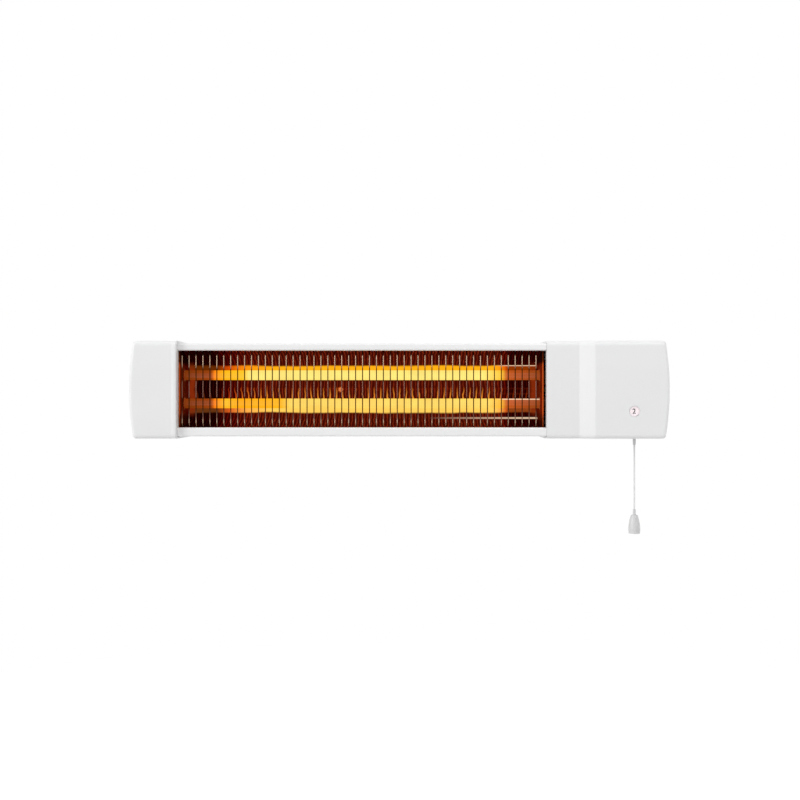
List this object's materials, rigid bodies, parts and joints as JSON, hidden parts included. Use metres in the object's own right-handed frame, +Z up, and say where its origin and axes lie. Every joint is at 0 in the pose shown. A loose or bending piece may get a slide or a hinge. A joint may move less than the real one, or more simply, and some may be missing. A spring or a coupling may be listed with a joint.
{
  "type": "quartz heater",
  "caption": "Wall-mounted quartz tube heater: white steel trough with reflector, glowing tubes and wire guard, moulded ends, tilting wall bracket and pull-cord switch with a numbered dial.",
  "frame": {"origin": "midway between the two wall-screw holes, on the wall plane", "axes": "+X along the heater towards the switch end, +Y into the wall, +Z up; the room is towards -Y"},
  "size_m": [0.5388, 0.1066, 0.1946],
  "materials": {
    "white_housing": "moulded white plastic, fine satin texture",
    "white_enamel": "white baked enamel on folded steel",
    "zinc_steel": "bright zinc plate",
    "polished_reflector": "mirror-polished sheet, heat tinted",
    "plate_steel": "aluminised steel",
    "guard_chrome": "bright plated wire",
    "quartz": "satin quartz, glowing from the coil inside",
    "heating_wire": "glowing resistance wire",
    "ceramic_white": "unglazed steatite",
    "terminal_brass": "turned and pressed brass",
    "dial_white": "white with plain dark numbers",
    "switch_plastic": "black moulded plastic",
    "clear_window": "clear lens",
    "grey_rubber": "soft grommet",
    "friction_fibre": "hard fibre",
    "cord_white": "braided cord",
    "knob_grey": "light grey moulded plastic",
    "lead_brown": "silicone sleeve",
    "lead_blue": "silicone sleeve",
    "lead_green": "silicone sleeve",
    "spring_steel": "bright spring wire"
  },
  "bodies": {
    "wall_bracket": {"wall_bracket": "zinc_steel"},
    "heater": {"hinge_bracket": "zinc_steel", "hinge_rivets": "zinc_steel", "tilt_bolts": "zinc_steel", "tilt_washers": "friction_fibre", "wing_nuts": "zinc_steel", "main_casing": "white_enamel", "reflector": "polished_reflector", "reflector_rivet": "zinc_steel", "left_end_plate": "plate_steel", "right_end_plate": "plate_steel", "upper_quartz_tube": "quartz", "lower_quartz_tube": "quartz", "upper_heating_coil": "heating_wire", "lower_heating_coil": "heating_wire", "left_tube_ceramics": "ceramic_white", "right_tube_ceramics": "ceramic_white", "tube_terminals": "terminal_brass", "wire_guard": "guard_chrome", "left_end_cap": "white_housing", "switch_housing": "white_housing", "left_rear_cover": "white_housing", "right_rear_cover": "white_housing", "left_cover_screws": "zinc_steel", "right_cover_screws": "zinc_steel", "indicator_window": "clear_window", "return_spring": "spring_steel", "switch_body": "switch_plastic", "contact_plate": "switch_plastic", "switch_contacts": "terminal_brass", "switch_body_screws": "zinc_steel", "cord_bush": "knob_grey", "terminal_block": "ceramic_white", "terminal_screws": "terminal_brass", "cable_grommet": "grey_rubber", "earth_screw": "terminal_brass", "jumper_lead": "lead_brown", "neutral_lead": "lead_blue", "earth_lead": "lead_green", "live_lead": "lead_brown", "switch_leads": "lead_brown"},
    "pull": {"pull_cord": "cord_white", "cord_ferrule": "knob_grey", "cord_knot": "cord_white", "pull_knob": "knob_grey"},
    "cord_drum": {"cord_drum": "switch_plastic", "drive_pawl": "spring_steel"},
    "selector": {"ratchet_wheel": "switch_plastic", "indicator_disc": "dial_white", "contact_cam": "switch_plastic"}
  },
  "joints": [
    {"name": "body_tilt", "type": "hinge", "parent": "wall_bracket", "child": "heater", "pos_m": [0, -0.02, 0], "axis": [1, 0, 0], "range_deg": [0, 30]},
    {"name": "cord_pull", "type": "slide", "parent": "heater", "child": "pull", "axis": [0, 0, -1], "range_m": [0, 0.01225], "stiffness_N_per_m": 500, "springref_m": -0.006},
    {"name": "drum_turn", "type": "hinge", "parent": "heater", "child": "cord_drum", "pos_m": [0.2263, -0.082, -0.01126], "axis": [0, 1, 0], "range_deg": [0, 60]},
    {"name": "selector_turn", "type": "hinge", "parent": "heater", "child": "selector", "pos_m": [0.2263, -0.082, -0.01126], "axis": [0, 1, 0], "continuous": true}
  ],
  "couplings": [
    {"joint": "drum_turn", "follows": "cord_pull", "rad_per_m": 85.47}
  ]
}
